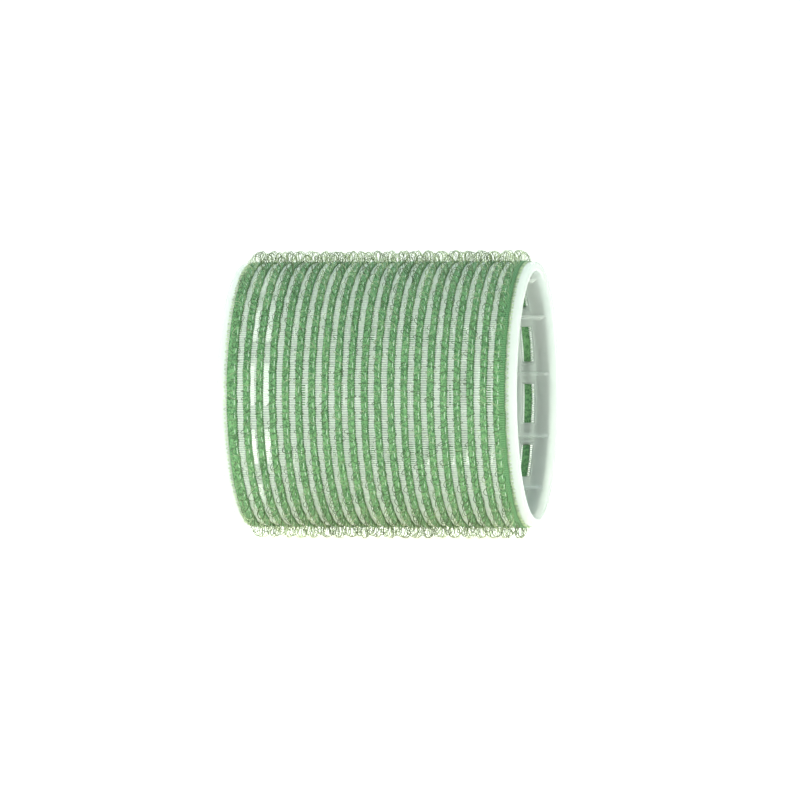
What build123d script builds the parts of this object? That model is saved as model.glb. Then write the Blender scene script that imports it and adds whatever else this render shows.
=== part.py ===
"""Self-grip hair roller: a moulded cage core with a woven hook tape bonded round it.

The roller lies along X with its middle at the origin. Millimetres, +Z up. Its nominal size is 61 x 63 mm:
the diameter over the hook tips, and the length of the core.
"""

from build123d import *
import math
import os

os.makedirs("parts", exist_ok=True)

# The core, one moulding.
LENGTH = 63.0  # rim to rim
RIM_R = 27.85  # outside of the bare rims
SEAT_R = 27.40  # outside of the wall under the tape
BORE_R = 26.00  # inside of the wall
RIM_ROUND = 0.45  # rounding of each rim's edges
COLUMNS = 13  # windows along the roller
ROUND_COUNT = 12  # windows round the roller
RING_PITCH = 4.158  # from one column of windows to the next
WINDOW_AXIAL = 2.50  # clear width of a window along the roller
WINDOW_ARC = 18.2  # clear height of a window, degrees
WINDOW_STEP = 28.4  # from one row of windows to the next, within a half of the mould, degrees
HALVES = (10.0, 190.0)  # middle of each half, degrees from +Y towards +Z; a wider bar on each parting line
LIP = 0.35  # chamfer round a window on the bore's side
BAR_SINK = 0.05  # bars stand back from the rings by this, inside and outside
RIB_WIDE = 0.60  # stiffening ribs inside the bore, one on each bar
RIB_HIGH = 0.65
RIB_END = 29.9  # ribs stop here, short of the rims
RIB_RUN_OUT = 1.2  # sloped end of a rib

# The tape: warp bands held apart by one ladder of wefts.
TAPE_LEFT = -29.40
TAPE_RIGHT = 29.30
BANDS = 21
BAND_PITCH = 2.772
GAP = 1.22  # open ladder between two bands
GAP_MIDDLE = -1.65  # middle of the tenth gap
WEFT_R0 = 27.46
WEFT_R1 = 27.66
BAND_R0 = 27.68
BAND_R1 = 28.12
SEAM_ANGLE = 66.8  # where the tape's ends meet, over a bar, degrees from +Y towards +Z
SEAM_SLIT = 0.5  # open between the ends, degrees

# The hooks on each band, the loops at the selvedges, and what bonds the tape to the core.
HOOK_R0 = 28.14
TIP_R = 30.50  # over the hooks, to the flats
HOOK_SIDES = 24  # the pile is pressed to short flats, so the roller rests without rolling
HOOK_WIDE = 2.20
PICOTS = 188  # selvedge loops round each end
PICOT_R0 = 27.87
PICOT_R1 = 28.07
PICOT_ROD = 0.30  # binding thread along the selvedge
PICOT_LOOP = 0.29  # radius of one loop
BOND_R0 = 27.405
BOND_R1 = 27.455
BOND_WIDE = 1.60
WELD_ARC = 6.5  # the weld under the tape's two ends, degrees

window_edge = (COLUMNS // 2) * RING_PITCH + WINDOW_AXIAL / 2
per_half = ROUND_COUNT // 2
window_angles = [half + (k - (per_half - 1) / 2) * WINDOW_STEP for half in HALVES for k in range(per_half)]
rib_angles = [HALVES[0] + k * 360 / ROUND_COUNT for k in range(ROUND_COUNT)]


def radial_plane(degrees):
    """Plane through the axis: its x runs along the roller, its y outwards at an angle from +Y towards +Z."""
    a = math.radians(degrees)
    return Plane(origin=(0, 0, 0), x_dir=(1, 0, 0), z_dir=(0, -math.sin(a), math.cos(a)))


def polar(radius, degrees):
    """Point of a Plane.YZ sketch, by radius and angle from +Y towards +Z."""
    a = math.radians(degrees)
    return (radius * math.cos(a), radius * math.sin(a))


def ring(x0, x1, r0, r1, start=0.0, arc=360.0):
    """Ring about the roller's axis, or the part of one from a start angle on."""
    with BuildSketch(radial_plane(start)) as section:
        with Locations(((x0 + x1) / 2, (r0 + r1) / 2)):
            Rectangle(x1 - x0, r1 - r0)
    revolve(section.sketch, axis=Axis.X, revolution_arc=arc)


def write(part, label):
    """Name a finished part and write it."""
    part.part.label = label
    export_step(part.part, f"parts/{label}.step")


def collar(side, seat_end):
    """End collar with its raised, rounded rim."""
    with BuildSketch(radial_plane(0)) as section:
        with BuildLine():
            Polyline(
                (side * (window_edge + LIP), BORE_R),
                (side * LENGTH / 2, BORE_R),
                (side * LENGTH / 2, RIM_R),
                (seat_end, RIM_R),
                (seat_end, SEAT_R),
                (side * window_edge, SEAT_R),
                (side * window_edge, BORE_R + LIP),
                close=True,
            )
        make_face()
        fillet(vertices().filter_by(lambda v: abs(v.X) > LENGTH / 2 - 0.01), RIM_ROUND)
    revolve(section.sketch, axis=Axis.X)


def window_ring(middle):
    """Ring between two columns of windows, chamfered on the bore's side."""
    half = (RING_PITCH - WINDOW_AXIAL) / 2
    with BuildSketch(radial_plane(0)) as section:
        with BuildLine():
            Polyline(
                (middle - half, BORE_R + LIP),
                (middle - half + LIP, BORE_R),
                (middle + half - LIP, BORE_R),
                (middle + half, BORE_R + LIP),
                (middle + half, SEAT_R),
                (middle - half, SEAT_R),
                close=True,
            )
        make_face()
    revolve(section.sketch, axis=Axis.X)


def bar(low, high):
    """Lengthwise bar from one row of windows to the next, chamfered on the bore's side."""
    lip_arc = math.degrees(LIP / BORE_R)
    angle = (low + high) / 2
    inner, outer = BORE_R + BAR_SINK, SEAT_R - BAR_SINK
    with BuildSketch(Plane.YZ) as section:
        with BuildLine():
            ThreePointArc(polar(outer, low), polar(outer, angle), polar(outer, high))
            Line(polar(outer, high), polar(inner + LIP, high))
            Line(polar(inner + LIP, high), polar(inner, high - lip_arc))
            ThreePointArc(polar(inner, high - lip_arc), polar(inner, angle), polar(inner, low + lip_arc))
            Line(polar(inner, low + lip_arc), polar(inner + LIP, low))
            Line(polar(inner + LIP, low), polar(outer, low))
        make_face()
    extrude(section.sketch, amount=window_edge + 2 * LIP, both=True)


def rib(angle):
    """Low stiffening rib down the middle of a bar, running out on both collars."""
    root = BORE_R + 3 * BAR_SINK
    top = BORE_R - RIB_HIGH
    with BuildSketch(radial_plane(angle)) as section:
        with BuildLine():
            Polyline(
                (-RIB_END, root),
                (-RIB_END + RIB_RUN_OUT, top),
                (RIB_END - RIB_RUN_OUT, top),
                (RIB_END, root),
                close=True,
            )
        make_face()
    extrude(section.sketch, amount=RIB_WIDE / 2, both=True)


# The core.
with BuildPart() as core_cage:
    collar(-1, TAPE_LEFT - 0.1)
    collar(1, TAPE_RIGHT + 0.1)
    for k in range(COLUMNS - 1):
        window_ring((k - (COLUMNS - 2) / 2) * RING_PITCH)
    for this, following in zip(window_angles, window_angles[1:] + [window_angles[0] + 360]):
        bar(this + WINDOW_ARC / 2, following - WINDOW_ARC / 2)
    for angle in rib_angles:
        rib(angle)
write(core_cage, "core_cage")

# Adhesive under the two margins of the tape, and the weld under its two ends.
with BuildPart() as bond_ring_left:
    ring(TAPE_LEFT, TAPE_LEFT + BOND_WIDE, BOND_R0, BOND_R1)
write(bond_ring_left, "bond_ring_left")

with BuildPart() as bond_ring_right:
    ring(TAPE_RIGHT - BOND_WIDE, TAPE_RIGHT, BOND_R0, BOND_R1)
write(bond_ring_right, "bond_ring_right")

with BuildPart() as seam_weld:
    weld_end = 0.2 + BOND_WIDE
    ring(
        TAPE_LEFT + weld_end,
        TAPE_RIGHT - weld_end,
        BOND_R0,
        BOND_R1,
        start=SEAM_ANGLE - WELD_ARC / 2,
        arc=WELD_ARC,
    )
write(seam_weld, "seam_weld")

# The wefts, as one thin sleeve open at the seam.
with BuildPart() as weft_ladder:
    ring(
        TAPE_LEFT,
        TAPE_RIGHT,
        WEFT_R0,
        WEFT_R1,
        start=SEAM_ANGLE + SEAM_SLIT / 2,
        arc=360 - SEAM_SLIT,
    )
write(weft_ladder, "weft_ladder")

# The warp bands, left to right. The two margin bands run out to the selvedges.
gap_x = [GAP_MIDDLE + (k - 10) * BAND_PITCH for k in range(1, BANDS)]
band_start = [TAPE_LEFT] + [x + GAP / 2 for x in gap_x]
band_end = [x - GAP / 2 for x in gap_x] + [TAPE_RIGHT]
for k in range(BANDS):
    with BuildPart() as warp_band:
        ring(
            band_start[k],
            band_end[k],
            BAND_R0,
            BAND_R1,
            start=SEAM_ANGLE + SEAM_SLIT / 2,
            arc=360 - SEAM_SLIT,
        )
    write(warp_band, f"warp_band_{k + 1:02d}")

# The hooks that stand on each band, as one pressed pile per band.
for k in range(BANDS):
    middle = (band_start[k] + band_end[k]) / 2
    with BuildPart() as hook_row:
        with BuildSketch(Plane.YZ.offset(middle - HOOK_WIDE / 2)):
            RegularPolygon(TIP_R, HOOK_SIDES, major_radius=False, rotation=180 / HOOK_SIDES)
            Circle(HOOK_R0, mode=Mode.SUBTRACT)
        extrude(amount=HOOK_WIDE)
    write(hook_row, f"hook_row_{k + 1:02d}")

# The selvedge loops that lie on the bare rims.
for label, edge, side in (("picot_edge_left", TAPE_LEFT, -1), ("picot_edge_right", TAPE_RIGHT, 1)):
    near = edge + side * 0.12
    far = near + side * PICOT_ROD
    with BuildPart() as picot_edge:
        ring(min(near, far), max(near, far), PICOT_R0, PICOT_R1)
        for k in range(PICOTS):
            turned = Plane.XY.rotated((k * 360 / PICOTS, 0, 0))
            with BuildSketch(turned.offset(PICOT_R0 + 0.01)):
                with Locations((far, 0)):
                    Circle(PICOT_LOOP)
            extrude(amount=PICOT_R1 - PICOT_R0 - 0.02)
    write(picot_edge, label)
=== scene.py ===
"""Self-grip hair roller in Blender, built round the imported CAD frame. Metres, roller along X, +Z up."""

import math

import bpy
import numpy as np
from mathutils import Matrix, Vector


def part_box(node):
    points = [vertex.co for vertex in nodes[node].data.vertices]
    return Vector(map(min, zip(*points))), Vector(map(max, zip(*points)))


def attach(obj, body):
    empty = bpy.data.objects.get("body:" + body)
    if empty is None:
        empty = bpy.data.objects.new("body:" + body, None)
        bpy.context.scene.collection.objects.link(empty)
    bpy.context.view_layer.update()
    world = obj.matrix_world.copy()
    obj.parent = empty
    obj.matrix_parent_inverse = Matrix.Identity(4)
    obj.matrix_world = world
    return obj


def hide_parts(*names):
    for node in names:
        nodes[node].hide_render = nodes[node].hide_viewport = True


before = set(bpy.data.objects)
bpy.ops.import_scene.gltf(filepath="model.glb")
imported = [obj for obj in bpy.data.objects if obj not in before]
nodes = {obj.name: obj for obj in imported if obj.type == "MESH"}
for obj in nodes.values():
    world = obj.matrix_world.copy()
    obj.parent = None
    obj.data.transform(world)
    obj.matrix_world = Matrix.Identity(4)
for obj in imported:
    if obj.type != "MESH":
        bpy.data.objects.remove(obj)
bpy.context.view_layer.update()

MM = 0.001

# The tape's layout, from the CAD nodes it replaces.
BANDS = 21
band_box = [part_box(f"warp_band_{k + 1:02d}") for k in range(BANDS)]
band_x0 = [lo[0] for lo, hi in band_box]
band_x1 = [hi[0] for lo, hi in band_box]
BAND_TOP = band_box[0][1][2]  # radius over the bands
TAPE_LEFT, TAPE_RIGHT = band_x0[0], band_x1[-1]
TIP_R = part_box("hook_row_01")[1][2]  # radius over the hooks
SEAT_R = 27.40 * MM  # outside of the core's wall, under the tape
RIM_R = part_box("core_cage")[1][2]  # outside of the bare rims

PICKS = 352  # wefts round the roller, one each 0.50 mm
SEAM = math.radians(66.8)  # where the tape's ends meet, from +Y towards +Z
SEAM_HALF = math.radians(0.2)  # half of the opening between them

# Seeds of the random draws. Each band adds its number to the ones for bands.
SHARED_SEED = 61063
BAND_SEED = 100
HOOK_SEED = 500
PICOT_SEED = 900
LEFT_EDGE_SEED = 7000
RIGHT_EDGE_SEED = 8000
YARN_SEED_STEP = 1000  # from one band's yarns to the next band's
rng = np.random.default_rng(SHARED_SEED)


# ---------------------------------------------------------------------------------------------------------
# Mesh helpers
# ---------------------------------------------------------------------------------------------------------
def add_mesh(name, verts, faces, floats):
    """A new smooth-shaded object from arrays, with per-vertex float attributes."""
    mesh = bpy.data.meshes.new(name)
    verts = np.asarray(verts, np.float32).reshape(-1, 3)
    faces = np.asarray(faces, np.int32)
    n, corners = faces.shape
    mesh.vertices.add(len(verts))
    mesh.vertices.foreach_set("co", verts.ravel())
    mesh.loops.add(n * corners)
    mesh.loops.foreach_set("vertex_index", faces.ravel())
    mesh.polygons.add(n)
    mesh.polygons.foreach_set("loop_start", np.arange(0, n * corners, corners, dtype=np.int32))
    mesh.polygons.foreach_set("use_smooth", np.full(n, True))
    for key, values in floats.items():
        layer = mesh.attributes.new(key, "FLOAT", "POINT")
        layer.data.foreach_set("value", np.asarray(values, np.float32).ravel())
    mesh.update(calc_edges=True)
    mesh.validate()
    obj = bpy.data.objects.new(name, mesh)
    bpy.context.scene.collection.objects.link(obj)
    return obj


def tubes(paths, radius, sides, across, flat=1.0):
    """Closed tubes along many polylines at once: paths is (tubes, points, 3), radius a number or
    (tubes, points). across is one direction for each tube that its first side faces, and flat its thickness
    that way over its width. Returns vertices, quads and the end triangles."""
    paths = np.asarray(paths, float)
    n, m, _ = paths.shape
    radius = np.broadcast_to(np.asarray(radius, float), (n, m))
    tangent = np.gradient(paths, axis=1)
    tangent /= np.linalg.norm(tangent, axis=2, keepdims=True)
    across = np.broadcast_to(np.asarray(across, float)[:, None, :], paths.shape)
    first = across - (across * tangent).sum(2, keepdims=True) * tangent
    first /= np.linalg.norm(first, axis=2, keepdims=True)
    second = np.cross(tangent, first)
    turn = np.arange(sides) * 2 * math.pi / sides
    ring = (
        first[:, :, None, :] * (flat * np.cos(turn))[None, None, :, None]
        + second[:, :, None, :] * np.sin(turn)[None, None, :, None]
    )
    skin = paths[:, :, None, :] + ring * radius[:, :, None, None]
    ends = np.stack([paths[:, 0], paths[:, -1]], axis=1)
    verts = np.concatenate([skin.reshape(n, -1, 3), ends], axis=1)
    i, j = np.meshgrid(np.arange(m - 1), np.arange(sides), indexing="ij")
    after = (j + 1) % sides
    body = np.stack([i * sides + j, i * sides + after, (i + 1) * sides + after, (i + 1) * sides + j], -1)
    body = body.reshape(-1, 4)
    j = np.arange(sides)
    after = (j + 1) % sides
    start, end = m * sides, m * sides + 1
    last = (m - 1) * sides
    cap0 = np.stack([np.full(sides, start), after, j], -1)
    cap1 = np.stack([np.full(sides, end), last + j, last + after], -1)
    tri = np.concatenate([cap0, cap1])
    per = m * sides + 2
    offset = (np.arange(n) * per)[:, None, None]
    quads = (body[None] + offset).reshape(-1, 4)
    tris = (tri[None] + offset).reshape(-1, 3)
    return verts.reshape(-1, 3), quads, tris


def add_tubes(name, groups, flat=1.0):
    """One object from (paths, radius, sides, across, low, high) groups, each tube with a random 'tone'
    between its group's low and high."""
    verts, faces3, tones = [], [], []
    base = 0
    for paths, radius, sides, across, low_tone, high_tone in groups:
        v, quads, tris = tubes(paths, radius, sides, across, flat)
        faces3 += [quads[:, [0, 1, 2]] + base, quads[:, [0, 2, 3]] + base, tris + base]
        verts.append(v)
        tones.append(np.repeat(rng.uniform(low_tone, high_tone, len(paths)), len(v) // len(paths)))
        base += len(v)
    floats = {"tone": np.concatenate(tones)}
    return add_mesh(name, np.concatenate(verts), np.concatenate(faces3), floats)


def on_roller(x, r, angle):
    """Points at x along the roller, radius r and angle from +Y towards +Z."""
    x, r, angle = np.broadcast_arrays(x, r, angle)
    return np.stack([x, r * np.cos(angle), r * np.sin(angle)], -1)


def wander(angle, amount, waves, seed):
    """A smooth, closed random wobble round the roller."""
    g = np.random.default_rng(seed)
    total = np.zeros_like(angle)
    for k in waves:
        total += g.normal() * np.cos(k * angle) + g.normal() * np.sin(k * angle)
    return amount * total / math.sqrt(len(waves))


# ---------------------------------------------------------------------------------------------------------
# Materials
# ---------------------------------------------------------------------------------------------------------
class Nodes:
    """Short calls for a material's node tree."""

    def __init__(self, name):
        self.mat = bpy.data.materials.new(name)
        self.mat.use_nodes = True
        self.tree = self.mat.node_tree
        self.tree.nodes.clear()
        self.out = self.tree.nodes.new("ShaderNodeOutputMaterial")

    def add(self, kind, inputs=None, **props):
        """A new node: inputs that are sockets are linked, and the others are set."""
        node = self.tree.nodes.new(kind)
        for key, value in props.items():
            setattr(node, key, value)
        for key, value in (inputs or {}).items():
            if isinstance(value, bpy.types.NodeSocket):
                self.tree.links.new(value, node.inputs[key])
            else:
                node.inputs[key].default_value = value
        return node

    def ramp(self, value, stops):
        """Colour along a value, from (place, colour) stops."""
        node = self.add("ShaderNodeValToRGB", {"Fac": value})
        ramp = node.color_ramp
        while len(ramp.elements) < len(stops):
            ramp.elements.new(0.5)
        for element, (place, colour) in zip(ramp.elements, stops):
            element.position = place
            element.color = (*colour, 1.0)
        return node.outputs["Color"]

    def mix(self, factor, a, b, blend="MIX"):
        """Blend of two colours, each a socket or a plain colour."""
        # The Mix node's colour sockets share their names with its other types', so they go by number.
        node = self.add("ShaderNodeMix", data_type="RGBA", blend_type=blend)
        for socket, value in ((node.inputs[0], factor), (node.inputs[6], a), (node.inputs[7], b)):
            if isinstance(value, bpy.types.NodeSocket):
                self.tree.links.new(value, socket)
            else:
                socket.default_value = value if isinstance(value, (int, float)) else (*value, 1.0)
        return node.outputs[2]

    def noise(self, scale, detail=3.0, rough=0.5):
        """Noise fixed to the object."""
        place = self.add("ShaderNodeTexCoord").outputs["Object"]
        node = self.add(
            "ShaderNodeTexNoise", {"Vector": place, "Scale": scale, "Detail": detail, "Roughness": rough}
        )
        return node.outputs["Fac"]

    def bump(self, height, strength, distance):
        node = self.add("ShaderNodeBump", {"Height": height, "Strength": strength, "Distance": distance})
        return node.outputs["Normal"]

    def finish(self, shader):
        """Connect the finished shader and return the material."""
        self.tree.links.new(shader, self.out.inputs["Surface"])
        return self.mat


def srgb(r, g, b):
    """Linear colour from 0-255 screen values, by the sRGB standard's curve."""
    screen = (r / 255, g / 255, b / 255)
    return tuple((c / 12.92 if c <= 0.04045 else ((c + 0.055) / 1.055) ** 2.4) for c in screen)


def core_plastic():
    """Natural, milky moulded plastic that lets light through its wall."""
    n = Nodes("core_plastic")
    cloud = n.noise(90.0, detail=4.0, rough=0.6)
    colour = n.ramp(cloud, [(0.3, srgb(235, 243, 240)), (0.7, srgb(245, 249, 246))])
    satin = n.noise(700.0, detail=2.0)
    rough = n.add("ShaderNodeMapRange", {"Value": satin, "To Min": 0.14, "To Max": 0.22}).outputs["Result"]
    base = n.add(
        "ShaderNodeBsdfPrincipled",
        {
            "Base Color": colour,
            "Roughness": rough,
            "Normal": n.bump(cloud, strength=0.05, distance=0.02 * MM),
            "IOR": 1.49,
            "Subsurface Weight": 1.0,
            "Subsurface Radius": (1.0, 1.0, 1.0),
            "Subsurface Scale": 13.0 * MM,
            "Transmission Weight": 0.28,
        },
    )
    return n.finish(base.outputs["BSDF"])


# How much of a band's colour comes from each pattern laid over its weave.
FINE_SHARE = 0.35
BROAD_SHARE = 0.15
PILE_SHARE = 0.42  # where curls cover the weave


def band_cloth():
    """Green woven nylon: 'edge' runs 0 in the middle of a band to 1 at its edges, where it darkens the colour
    as painted shade, 'tone' differs yarn by yarn and also holds painted light on the weave's crowns and
    painted shade in its dips, and 'pile' is 1 where fine curls cover the weave."""
    n = Nodes("band_cloth")
    tone = n.add("ShaderNodeAttribute", attribute_name="tone").outputs["Fac"]
    edge = n.add("ShaderNodeAttribute", attribute_name="edge").outputs["Fac"]
    pile = n.add("ShaderNodeAttribute", attribute_name="pile").outputs["Fac"]
    fine = n.noise(5200.0, detail=2.0, rough=0.6)
    curls = n.noise(1900.0, rough=0.7)
    broad = n.noise(300.0)
    # The ramp's dark end paints the shade in the weave's dips and between yarns, and its light end paints the
    # light on the crowns.
    body = n.ramp(
        tone,
        [
            (0.0, srgb(46, 86, 54)),
            (0.3, srgb(84, 130, 86)),
            (0.6, srgb(120, 162, 116)),
            (1.0, srgb(182, 218, 168)),
        ],
    )
    body = n.mix(FINE_SHARE, body, n.ramp(fine, [(0.35, srgb(70, 116, 72)), (0.65, srgb(138, 182, 130))]))
    body = n.mix(BROAD_SHARE, body, n.ramp(broad, [(0.4, srgb(92, 144, 104)), (0.6, srgb(124, 162, 98))]))
    covered = n.add("ShaderNodeMapRange", {"Value": pile, "To Min": 0.0, "To Max": PILE_SHARE})
    curl_green = n.ramp(curls, [(0.44, srgb(58, 102, 62)), (0.56, srgb(176, 218, 160))])
    body = n.mix(covered.outputs["Result"], body, curl_green)
    # Painted shade: darker towards each band's edges, where the band falls away into the gaps, on its
    # underside's edges and at the middle of its cut ends. Below 0.7 the ramp only darkens the band's own
    # colour.
    dark = n.ramp(edge, [(0.7, (0.70, 0.83, 0.76)), (1.0, (0.32, 0.43, 0.34))])
    body = n.mix(1.0, body, dark, "MULTIPLY")
    base = n.add(
        "ShaderNodeBsdfPrincipled",
        {
            "Base Color": body,
            "Roughness": 0.55,
            "Normal": n.bump(fine, strength=0.5, distance=0.04 * MM),
            "Sheen Weight": 0.25,
            "Sheen Roughness": 0.4,
            "Specular IOR Level": 0.4,
        },
    )
    return n.finish(base.outputs["BSDF"])


THREAD_ROUGH = 0.35
THREAD_ROUGH_SPREAD = 0.08


def thread(name, stops, transmission):
    """Single nylon thread: tone differs thread by thread, along the stops of its colour ramp."""
    n = Nodes(name)
    tone = n.add("ShaderNodeAttribute", attribute_name="tone").outputs["Fac"]
    fine = n.noise(3000.0, detail=2.0)
    shade = n.ramp(fine, [(0.3, (0.86, 0.86, 0.86)), (0.7, (1.0, 1.0, 1.0))])
    colour = n.mix(1.0, n.ramp(tone, stops), shade, "MULTIPLY")
    rough = n.add(
        "ShaderNodeMapRange",
        {
            "Value": fine,
            "To Min": THREAD_ROUGH - THREAD_ROUGH_SPREAD,
            "To Max": THREAD_ROUGH + THREAD_ROUGH_SPREAD,
        },
    )
    base = n.add(
        "ShaderNodeBsdfPrincipled",
        {
            "Base Color": colour,
            "Roughness": rough.outputs["Result"],
            "Transmission Weight": transmission,
            "IOR": 1.5,
        },
    )
    return n.finish(base.outputs["BSDF"])


def adhesive():
    """Clear hot-melt film, so the tape shows through it and the core."""
    n = Nodes("adhesive_film")
    cloud = n.noise(900.0, rough=0.6)
    rough = n.add("ShaderNodeMapRange", {"Value": cloud, "To Min": 0.1, "To Max": 0.3})
    base = n.add(
        "ShaderNodeBsdfPrincipled",
        {
            "Base Color": n.ramp(cloud, [(0.3, srgb(232, 244, 228)), (0.7, srgb(246, 251, 242))]),
            "Roughness": rough.outputs["Result"],
            "Normal": n.bump(cloud, strength=0.4, distance=0.1 * MM),
            "Transmission Weight": 0.9,
            "IOR": 1.48,
        },
    )
    return n.finish(base.outputs["BSDF"])


# Olive is painted shade: it stands in for the dark edges that clear filament shows.
OLIVE_PAINTED_OUTLINE = srgb(130, 146, 108)
PALE = srgb(230, 240, 206)
WHITER = srgb(222, 244, 220)
OLIVE_TONE = 0.46  # loops of a tone up to this are olive
PALE_TONE = 0.6  # and from this on pale
LOOP_TONE = 0.84  # the highest tone of a loop
FLOAT_TONE = 0.9  # the lowest tone of a float


def hook_monofilament():
    """Clear filament: pale loops, olive loops whose colour is painted shade for the dark outlines of clear
    filament, and whiter, denser floats.
    """
    n = Nodes("hook_monofilament")
    tone = n.add("ShaderNodeAttribute", attribute_name="tone").outputs["Fac"]
    fine = n.noise(3000.0, detail=2.0)
    strand = n.ramp(
        tone,
        [(0.0, OLIVE_PAINTED_OUTLINE), (OLIVE_TONE, OLIVE_PAINTED_OUTLINE), (PALE_TONE, PALE), (LOOP_TONE, PALE), (FLOAT_TONE, WHITER)],
    )
    shade = n.ramp(fine, [(0.3, (0.9, 0.9, 0.9)), (0.7, (1.0, 1.0, 1.0))])
    clear = n.add(
        "ShaderNodeMapRange",
        {"Value": tone, "From Min": FLOAT_TONE - 0.05, "From Max": FLOAT_TONE, "To Min": 0.8, "To Max": 0.15},
    )
    rough = n.add("ShaderNodeMapRange", {"Value": fine, "To Min": 0.08, "To Max": 0.2})
    base = n.add(
        "ShaderNodeBsdfPrincipled",
        {
            "Base Color": n.mix(1.0, strand, shade, "MULTIPLY"),
            "Roughness": rough.outputs["Result"],
            "Transmission Weight": clear.outputs["Result"],
            "IOR": 1.5,
        },
    )
    return n.finish(base.outputs["BSDF"])


MAT_CORE = core_plastic()
MAT_BAND = band_cloth()
MAT_WEFT = thread("weft_nylon", [(0.0, srgb(234, 247, 231)), (1.0, srgb(250, 254, 247))], transmission=0.35)
MAT_HOOK = hook_monofilament()
# The grey-green is partly the selvedge thread's own colour and partly painted shade: darkened so that the
# loops show as the small shadow dots along the rims.
MAT_PICOT = thread(
    "selvedge_thread", [(0.0, srgb(156, 176, 142)), (1.0, srgb(204, 222, 178))], transmission=0.15
)
MAT_GLUE = adhesive()


def dress(obj, mat):
    """Give a new object its one material."""
    obj.data.materials.clear()
    obj.data.materials.append(mat)


# ---------------------------------------------------------------------------------------------------------
# The core and the bonding, straight from CAD
# ---------------------------------------------------------------------------------------------------------
def recolour(node, mat):
    """Put a material on a CAD object without touching its mesh."""
    for s in nodes[node].material_slots:
        s.link = "OBJECT"
        s.material = mat


recolour("core_cage", MAT_CORE)
for node in ("bond_ring_left", "bond_ring_right", "seam_weld"):
    recolour(node, MAT_GLUE)

# ---------------------------------------------------------------------------------------------------------
# The warp bands: woven strips with one yarn after another standing over and under the picks
# ---------------------------------------------------------------------------------------------------------
YARN = 0.258 * MM  # width of one yarn
ROWS_PER_PICK = 4
ROWS = PICKS * ROWS_PER_PICK
TOP_POINTS = 4  # across each yarn, on a band's top
UNDER_POINTS = 2  # and on its underside
BAND_FLOOR = SEAT_R + 0.10 * MM
UNDER_WAVE = 0.015 * MM  # height of the weave on the underside
BAND_GROUND = BAND_TOP - 0.12 * MM  # what the yarns stand on
YARN_HEIGHT = 0.10 * MM
YARN_FULLNESS = 0.7  # power that fills out a yarn's round section
OVER_UNDER = 0.75  # share of its height that a yarn gains over a pick and loses under it
SLACK = 0.012 * MM  # how far uneven tension lifts a yarn
TENSION_WAVES = (5, 9, 17, 31, 47)  # waves of that tension round the roller
SHOULDER_DROP = 0.16 * MM  # how far a band falls away at its edges
SHOULDER_POWER = 6
SCALLOP = 0.075 * MM  # how far each pick pulls a band's edge in and out
EDGE_WOBBLE = 0.035 * MM  # spread of a band's edges
EDGE_WAVES = (7, 13, 29, 43)  # waves of that wobble round the roller
EDGE_INSET = 0.02 * MM

# Tones, from 0 dark to 1 light. On a band's top they mix yarn-to-yarn tone with painted light on the weave's
# crowns and painted shade in its dips.
MID_TONE = 0.5
# Painted light and shade: a yarn is lighter where it stands over a pick and darker where it dips under one.
WEAVE_LIGHT_AND_SHADE = 0.25  # between over and under a pick
YARN_TONE = 0.35  # from yarn to yarn
# Painted light and shade: a yarn is lighter where uneven tension lifts it and darker where it sinks.
TENSION_LIGHT_AND_SHADE = 0.10
VALLEY_SHADE = 0.45  # a tone is multiplied by this between two yarns
TICK_TONE = 0.45  # of the wefts' ends that show along the right margin
TICK_SWING = 0.40
TICK_FADE = 0.1  # of that band's width
UNDER_TONE = 0.46
UNDER_SWING = 0.3
# Share of the painted edge shade that the underside's edges take.
UNDER_EDGE = 0.9
CUT_TONE = 0.2  # at the middle of a band's cut ends


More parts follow.
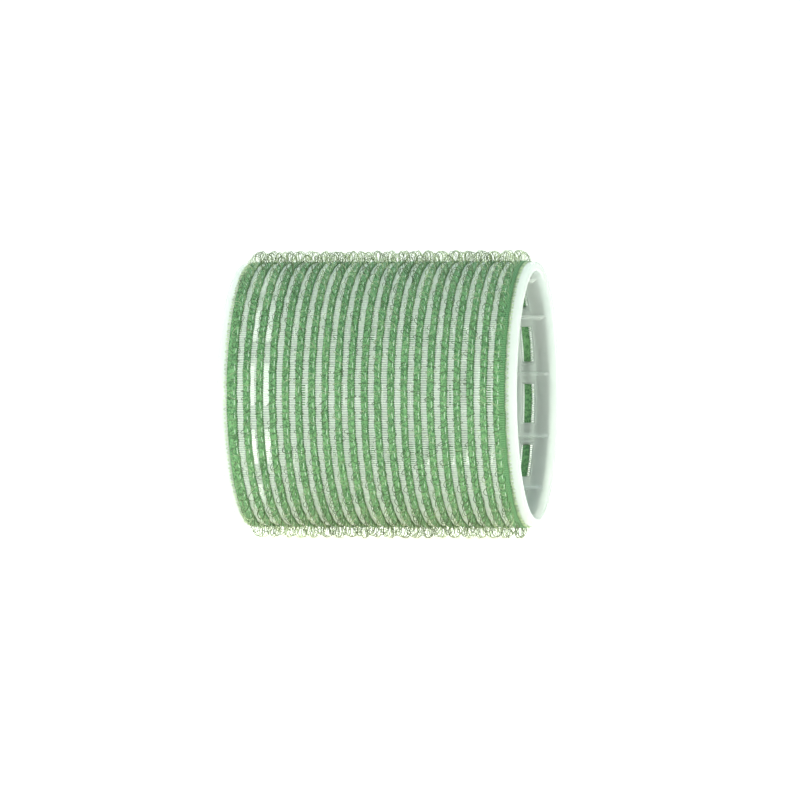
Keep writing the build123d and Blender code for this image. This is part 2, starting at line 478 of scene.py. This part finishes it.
def woven_band(k):
    """One warp band, as a closed strip from one side of the seam round to the other."""
    x0, x1 = band_x0[k], band_x1[k]
    yarns = round((x1 - x0) / YARN)
    t = np.linspace(0, 1, yarns * TOP_POINTS + 1)
    g = np.random.default_rng(BAND_SEED + k)
    angle = np.linspace(SEAM + SEAM_HALF, SEAM + 2 * math.pi - SEAM_HALF, ROWS + 1)
    pick = np.arange(ROWS + 1) / ROWS_PER_PICK
    yarn = np.minimum((t * yarns).astype(int), yarns - 1)
    round_yarn = np.abs(np.sin(math.pi * t * yarns)) ** YARN_FULLNESS
    phase = (yarn % 2) * math.pi
    weave = np.cos(math.pi * pick[:, None] + phase[None, :])
    side = np.abs(2 * t - 1)
    shoulder = np.sqrt(np.clip(1 - side**SHOULDER_POWER, 0, 1))
    yarn_seeds = [YARN_SEED_STEP * k + i for i in range(yarns)]
    tension = np.stack([wander(angle, 1.0, TENSION_WAVES, seed) for seed in yarn_seeds], 1)
    lift = BAND_GROUND - SHOULDER_DROP * (1 - shoulder)[None, :]
    lift = lift + YARN_HEIGHT * round_yarn[None, :] * (1 + OVER_UNDER * weave)
    lift = lift + SLACK * tension[:, yarn]
    scallop = SCALLOP * np.cos(2 * math.pi * pick)
    wobble0 = wander(angle, EDGE_WOBBLE, EDGE_WAVES, LEFT_EDGE_SEED + k) + scallop
    wobble1 = wander(angle, EDGE_WOBBLE, EDGE_WAVES, RIGHT_EDGE_SEED + k) + scallop
    left = x0 - wobble0 + EDGE_INSET
    right = x1 + wobble1 - EDGE_INSET
    x = left[:, None] * (1 - t)[None, :] + right[:, None] * t[None, :]
    top = on_roller(x, lift, angle[:, None])
    under = np.linspace(1, 0, yarns * UNDER_POINTS + 1)
    low_x = left[:, None] * (1 - under)[None, :] + right[:, None] * under[None, :]
    under_yarn = np.minimum((under * yarns).astype(int), yarns - 1)
    under_weave = np.cos(math.pi * (pick[:, None] + under_yarn[None, :] + 1))
    low = on_roller(low_x, BAND_FLOOR + UNDER_WAVE * (1 - under_weave), angle[:, None])
    grid = np.concatenate([top, low], axis=1)
    m, c = grid.shape[:2]
    i, j = np.meshgrid(np.arange(m - 1), np.arange(c), indexing="ij")
    nxt = (j + 1) % c
    quads = np.stack([i * c + j, (i + 1) * c + j, (i + 1) * c + nxt, i * c + nxt], -1).reshape(-1, 4)
    tri = np.concatenate([quads[:, [0, 1, 2]], quads[:, [0, 2, 3]]])
    # Cut ends: a fan over each end's outline.
    ends = np.stack([grid[0].mean(0), grid[-1].mean(0)])
    verts = np.concatenate([grid.reshape(-1, 3), ends])
    j = np.arange(c)
    nxt = (j + 1) % c
    first = np.stack([np.full(c, m * c), j, nxt], -1)
    last = np.stack([np.full(c, m * c + 1), (m - 1) * c + nxt, (m - 1) * c + j], -1)
    tri = np.concatenate([tri, first, last])
    tone_yarn = g.random(yarns)
    # Painted light on the weave's crowns and on slack-lifted yarns, and painted shade in the dips, over
    # random yarn-to-yarn tone.
    tone = MID_TONE + WEAVE_LIGHT_AND_SHADE * weave + YARN_TONE * (tone_yarn[yarn] - 0.5)[None, :]
    tone = tone + TENSION_LIGHT_AND_SHADE * tension[:, yarn]
    tone = tone * (VALLEY_SHADE + (1 - VALLEY_SHADE) * round_yarn)[None, :]
    pile = np.ones(len(t))
    if k == BANDS - 1:
        # The wefts' ends show on the outer half of the right margin band, with no pile over them.
        ticks = TICK_TONE + TICK_SWING * np.cos(2 * math.pi * pick)
        outer = np.clip((t - 0.5) / TICK_FADE, 0, 1)[None, :]
        tone = tone * (1 - outer) + ticks[:, None] * outer
        pile = 1 - outer[0]
    tone = np.clip(tone, 0, 1)
    under_tone = UNDER_TONE + UNDER_SWING * under_weave + YARN_TONE * (tone_yarn[under_yarn] - 0.5)[None, :]
    under_tone = np.clip(under_tone, 0, 1)
    full_tone = np.concatenate([tone, under_tone], axis=1)
    # Mask for the painted shade at the band's edges.
    edge = np.concatenate([side, UNDER_EDGE * np.abs(2 * under - 1)])[None, :].repeat(m, 0)
    pile = np.concatenate([pile, np.ones(len(under))])[None, :].repeat(m, 0)
    floats = {
        "pile": np.concatenate([pile.ravel(), [1.0, 1.0]]),
        "tone": np.concatenate([full_tone.ravel(), [CUT_TONE, CUT_TONE]]),
        "edge": np.concatenate([edge.ravel(), [1.0, 1.0]]),
    }
    obj = add_mesh(f"woven_band_{k + 1:02d}", verts, tri, floats)
    dress(obj, MAT_BAND)
    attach(obj, "root")
    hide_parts(f"warp_band_{k + 1:02d}")


for k in range(BANDS):
    woven_band(k)

# ---------------------------------------------------------------------------------------------------------
# The wefts: one thread per pick, across every gap
# ---------------------------------------------------------------------------------------------------------
WEFT_R = 0.15 * MM
WEFT_FLATTENED = 0.85  # thickness over width
WEFT_SIDES = 6
WEFT_LIFT = 0.275 * MM  # of its middle above the core's wall
WEFT_UNEVEN = 0.008 * MM  # spread of that
WEFT_STRAY = 0.0008  # spread of its angle, radians
BAND_OVERLAP = 0.05 * MM  # how far in from a band's edge a weft bends


def weft_threads():
    """All the wefts, as one object."""
    xs = [TAPE_LEFT + BAND_OVERLAP]
    for k in range(BANDS - 1):
        xs += [band_x1[k] - BAND_OVERLAP, band_x0[k + 1] + BAND_OVERLAP]
    xs.append(TAPE_RIGHT - BAND_OVERLAP)
    xs = np.array(xs)
    span = 2 * math.pi - 2 * SEAM_HALF
    angle = SEAM + SEAM_HALF + (np.arange(PICKS) + 0.5) * span / PICKS
    stray = rng.normal(0, WEFT_STRAY, (PICKS, len(xs)))
    r = SEAT_R + WEFT_LIFT + rng.normal(0, WEFT_UNEVEN, (PICKS, len(xs)))
    paths = on_roller(xs[None, :], r, angle[:, None] + stray)
    out = np.stack([np.zeros(PICKS), np.cos(angle), np.sin(angle)], -1)
    obj = add_tubes("weft_threads", [(paths, WEFT_R, WEFT_SIDES, out, 0.0, 1.0)], flat=WEFT_FLATTENED)
    dress(obj, MAT_WEFT)
    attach(obj, "root")
    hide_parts("weft_ladder")


weft_threads()

# ---------------------------------------------------------------------------------------------------------
# The hooks: looped monofilament standing on each band, with its floats lying between the loops
# ---------------------------------------------------------------------------------------------------------
HALF_BAND = 0.78 * MM  # about half the width of the bands between the margins
HOOK_SHIFT = 0.18 * MM  # hooks stand to the right of a band's middle by this
HOOK_SIDES = 6

LOOPS = 150  # on each band
LOOP_POINTS = 15
FILAMENT_R = 0.06 * MM
LOOP_ROOT = 0.12 * MM  # how deep the loops' feet stand in a band
LOOP_HEADROOM = 0.05 * MM  # from the tallest loop's middle line up to TIP_R, at least
LOOP_HEIGHT = (0.86, 1.0)  # shares of the tallest
LOOP_WIDTH = (0.9, 2.4)  # mm
LOOP_SHUFFLE = 0.25  # share of the spacing
LOOP_LEAN = 0.28  # spread, mm
LOOP_YAW = 0.45  # spread, radians
LOOP_TILT = 0.12  # spread, radians
LOOP_STRAY = 0.08  # spread of the feet, mm
FOOT_ANGLE = 58  # how far below a loop's middle its feet are, degrees
FOOT_SINE = 0.848  # of that angle
LOOP_MIDDLE = 1.2 * MM  # middle of a loop above its feet

FLOATS = 66  # on each band
FLOAT_POINTS = 7
FLOAT_R = 0.08 * MM
FLOAT_REACH = (0.42, 0.75)  # half lengths, mm
FLOAT_SHUFFLE = 0.2  # share of the spacing
FLOAT_SHIFT = 0.12 * MM  # to the right of the hooks
FLOAT_STRAY = 0.07  # spread, mm
FLOAT_SLANT = 0.04  # spread, mm
FLOAT_SINK = 0.02 * MM  # of its ends into the band
FLOAT_ARCH = 0.10 * MM


def hook_line(k):
    """Where a band's hooks stand along the roller: the margin bands' are measured from their inner edges."""
    inner = band_x1[0] - HALF_BAND if k == 0 else band_x0[k] + HALF_BAND
    return inner + HOOK_SHIFT


def hooks(k):
    """One band's loops, and the floats between them."""
    g = np.random.default_rng(HOOK_SEED + k)
    n = LOOPS
    angle = SEAM + (np.arange(n) + 0.5 + g.uniform(-LOOP_SHUFFLE, LOOP_SHUFFLE, n)) * 2 * math.pi / n
    ground = BAND_TOP - LOOP_ROOT
    height = g.uniform(*LOOP_HEIGHT, n) * (TIP_R - LOOP_HEADROOM - ground)
    width = g.uniform(*LOOP_WIDTH, n) * MM
    lean = g.normal(0, LOOP_LEAN, n) * MM
    yaw = g.normal(0, LOOP_YAW, n)
    tilt = g.normal(0, LOOP_TILT, n)
    turn = np.linspace(math.radians(-FOOT_ANGLE), math.radians(180 + FOOT_ANGLE), LOOP_POINTS)
    side = width[:, None] / 2 * np.cos(turn)[None, :]
    high = height[:, None] * (np.sin(turn)[None, :] + FOOT_SINE) / (1 + FOOT_SINE)
    side = side + lean[:, None] * high / height[:, None]
    feet = hook_line(k) + g.normal(0, LOOP_STRAY, n) * MM
    x = feet[:, None] + side * np.cos(yaw)[:, None]
    along = side * np.sin(yaw)[:, None] + high * np.sin(tilt)[:, None]
    r = ground + high
    paths = on_roller(x, r, angle[:, None] + along / (ground + LOOP_MIDDLE))
    across = np.stack([-np.sin(yaw), -np.sin(angle) * np.cos(yaw), np.cos(angle) * np.cos(yaw)], -1)
    # Floats on the band between the loops.
    m = FLOATS
    mid = SEAM + (np.arange(m) + 0.5 + g.uniform(-FLOAT_SHUFFLE, FLOAT_SHUFFLE, m)) * 2 * math.pi / m
    reach = g.uniform(*FLOAT_REACH, m) * MM / BAND_TOP
    s = np.linspace(-1, 1, FLOAT_POINTS)
    fx = hook_line(k) + FLOAT_SHIFT + g.normal(0, FLOAT_STRAY, m) * MM
    fx = fx[:, None] + g.normal(0, FLOAT_SLANT, m)[:, None] * MM * s[None, :]
    fr = BAND_TOP - FLOAT_SINK + FLOAT_ARCH * (1 - s[None, :] ** 2) + np.zeros((m, 1))
    floats = on_roller(fx, fr, mid[:, None] + reach[:, None] * s[None, :])
    fout = np.stack([np.zeros(m), np.cos(mid), np.sin(mid)], -1)
    obj = add_tubes(
        f"hook_loops_{k + 1:02d}",
        [
            (paths, FILAMENT_R, HOOK_SIDES, across, 0.0, LOOP_TONE),
            (floats, FLOAT_R, HOOK_SIDES, fout, FLOAT_TONE, 1.0),
        ],
    )
    dress(obj, MAT_HOOK)
    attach(obj, "root")
    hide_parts(f"hook_row_{k + 1:02d}")


for k in range(BANDS):
    hooks(k)

# ---------------------------------------------------------------------------------------------------------
# The selvedge loops on the bare rims
# ---------------------------------------------------------------------------------------------------------
PICOTS = 188  # round each end
PICOT_POINTS = 11
PICOT_SIDES = 6
PICOT_R = 0.095 * MM
PICOT_REACH = (0.62, 0.78)  # mm
PICOT_SHUFFLE = 0.08  # share of the spacing
PICOT_HALF_WIDTH = 0.30  # share of the spacing
PICOT_ROOT = 0.12 * MM  # how far a loop's feet are in from the tape's edge
PICOT_LIFT = 0.10 * MM  # above the rim
TIP_POWER = 0.6  # fills out the loop's tip
NECK_POWER = 1.4  # narrows it towards the tip


def picots(name, node, edge, way):
    """The loops along one selvedge: way is -1 at the left and 1 at the right."""
    g = np.random.default_rng(PICOT_SEED + (way > 0))
    n = PICOTS
    angle = SEAM + (np.arange(n) + 0.5 + g.uniform(-PICOT_SHUFFLE, PICOT_SHUFFLE, n)) * 2 * math.pi / n
    reach = g.uniform(*PICOT_REACH, n) * MM
    s = np.linspace(-1, 1, PICOT_POINTS)
    half = PICOT_HALF_WIDTH * 2 * math.pi / n
    x = edge + way * (-PICOT_ROOT + reach[:, None] * (1 - s[None, :] ** 2) ** TIP_POWER)
    r = RIM_R + PICOT_LIFT + np.zeros_like(x)
    paths = on_roller(x, r, angle[:, None] + half * np.sign(s) * np.abs(s) ** NECK_POWER)
    out = np.stack([np.zeros(n), np.cos(angle), np.sin(angle)], -1)
    obj = add_tubes(name, [(paths, PICOT_R, PICOT_SIDES, out, 0.0, 1.0)])
    dress(obj, MAT_PICOT)
    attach(obj, "root")
    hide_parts(node)


picots("selvedge_loops_left", "picot_edge_left", TAPE_LEFT, -1)
picots("selvedge_loops_right", "picot_edge_right", TAPE_RIGHT, 1)

# ---------------------------------------------------------------------------------------------------------
# Floor, light and camera
# ---------------------------------------------------------------------------------------------------------
FLOOR_HALF = 3.0  # metres
FLOOR_GLOW = (1.0, 0.96, 0.80, 1.0)
FLOOR_GLOW_STRENGTH = 0.95
SKY_BELOW = (0.96, 0.93, 0.80, 1.0)
SKY_ABOVE = (0.61, 0.80, 0.77, 1.0)
SKY_STRENGTH = 1.4

floor_mesh = bpy.data.meshes.new("floor")
corners = [(-1, -1), (1, -1), (1, 1), (-1, 1)]
floor_mesh.from_pydata([(x * FLOOR_HALF, y * FLOOR_HALF, -TIP_R) for x, y in corners], [], [(0, 1, 2, 3)])
floor = bpy.data.objects.new("floor", floor_mesh)
bpy.context.scene.collection.objects.link(floor)
paint = Nodes("floor_paint")
cream = paint.ramp(paint.noise(3.0), [(0.3, srgb(250, 250, 248)), (0.7, srgb(255, 255, 253))])
matt = paint.add(
    "ShaderNodeBsdfPrincipled",
    {
        "Base Color": cream,
        "Roughness": 0.9,
        "Emission Color": FLOOR_GLOW,
        "Emission Strength": FLOOR_GLOW_STRENGTH,
    },
)
floor_mesh.materials.append(paint.finish(matt.outputs["BSDF"]))

world = bpy.data.worlds.new("studio")
bpy.context.scene.world = world
world.use_nodes = True
sky = world.node_tree
height = sky.nodes.new("ShaderNodeSeparateXYZ")
sky.links.new(sky.nodes.new("ShaderNodeTexCoord").outputs["Generated"], height.inputs["Vector"])
level = sky.nodes.new("ShaderNodeMapRange")
level.inputs["From Min"].default_value = -1.0
sky.links.new(height.outputs["Z"], level.inputs["Value"])
tint = sky.nodes.new("ShaderNodeValToRGB")
sky.links.new(level.outputs["Result"], tint.inputs["Fac"])
tint.color_ramp.elements[0].color = SKY_BELOW
tint.color_ramp.elements[1].color = SKY_ABOVE
sky.links.new(tint.outputs["Color"], sky.nodes["Background"].inputs["Color"])
sky.nodes["Background"].inputs["Strength"].default_value = SKY_STRENGTH


def soft_light(name, place, size, power, colour):
    """Round area light that faces the roller. Metres and watts."""
    data = bpy.data.lights.new(name, "AREA")
    data.shape = "DISK"
    data.size = size
    data.energy = power
    data.color = colour
    obj = bpy.data.objects.new(name, data)
    obj.location = place
    obj.rotation_mode = "QUATERNION"
    obj.rotation_quaternion = (-Vector(place)).to_track_quat("-Z", "Y")
    bpy.context.scene.collection.objects.link(obj)


soft_light("key", place=(-0.45, -0.9, -0.05), size=0.5, power=4.6, colour=(0.96, 1.0, 0.98))

YAW = math.radians(11.0)  # the camera looks from this far to the right of straight on
LOOK_AT = Vector((-1.594, 0, 0))  # mm
DISTANCE = 1.125  # metres
SIDESTEP = 3.39  # mm to the right, which moves the roller left in the picture
STEP_UP = -1.19  # mm
camera = bpy.data.objects.new("camera", bpy.data.cameras.new("camera"))
right = Vector((math.cos(YAW), math.sin(YAW), 0))
back = Vector((math.sin(YAW), -math.cos(YAW), 0))
up = Vector((0, 0, 1))
camera.location = LOOK_AT * MM + back * DISTANCE + right * SIDESTEP * MM + up * STEP_UP * MM
camera.rotation_mode = "QUATERNION"
camera.rotation_quaternion = Matrix((right, up, back)).transposed().to_quaternion()
camera.data.lens = 239.2
camera.data.sensor_width = 36.0
camera.data.clip_start = 0.05
camera.data.clip_end = 20.0
bpy.context.scene.collection.objects.link(camera)
bpy.context.scene.camera = camera
bpy.context.scene.view_settings.view_transform = "Standard"
bpy.context.scene.cycles.transparent_max_bounces = 16
bpy.context.scene.cycles.transmission_bounces = 12
bpy.context.scene.cycles.max_bounces = 14
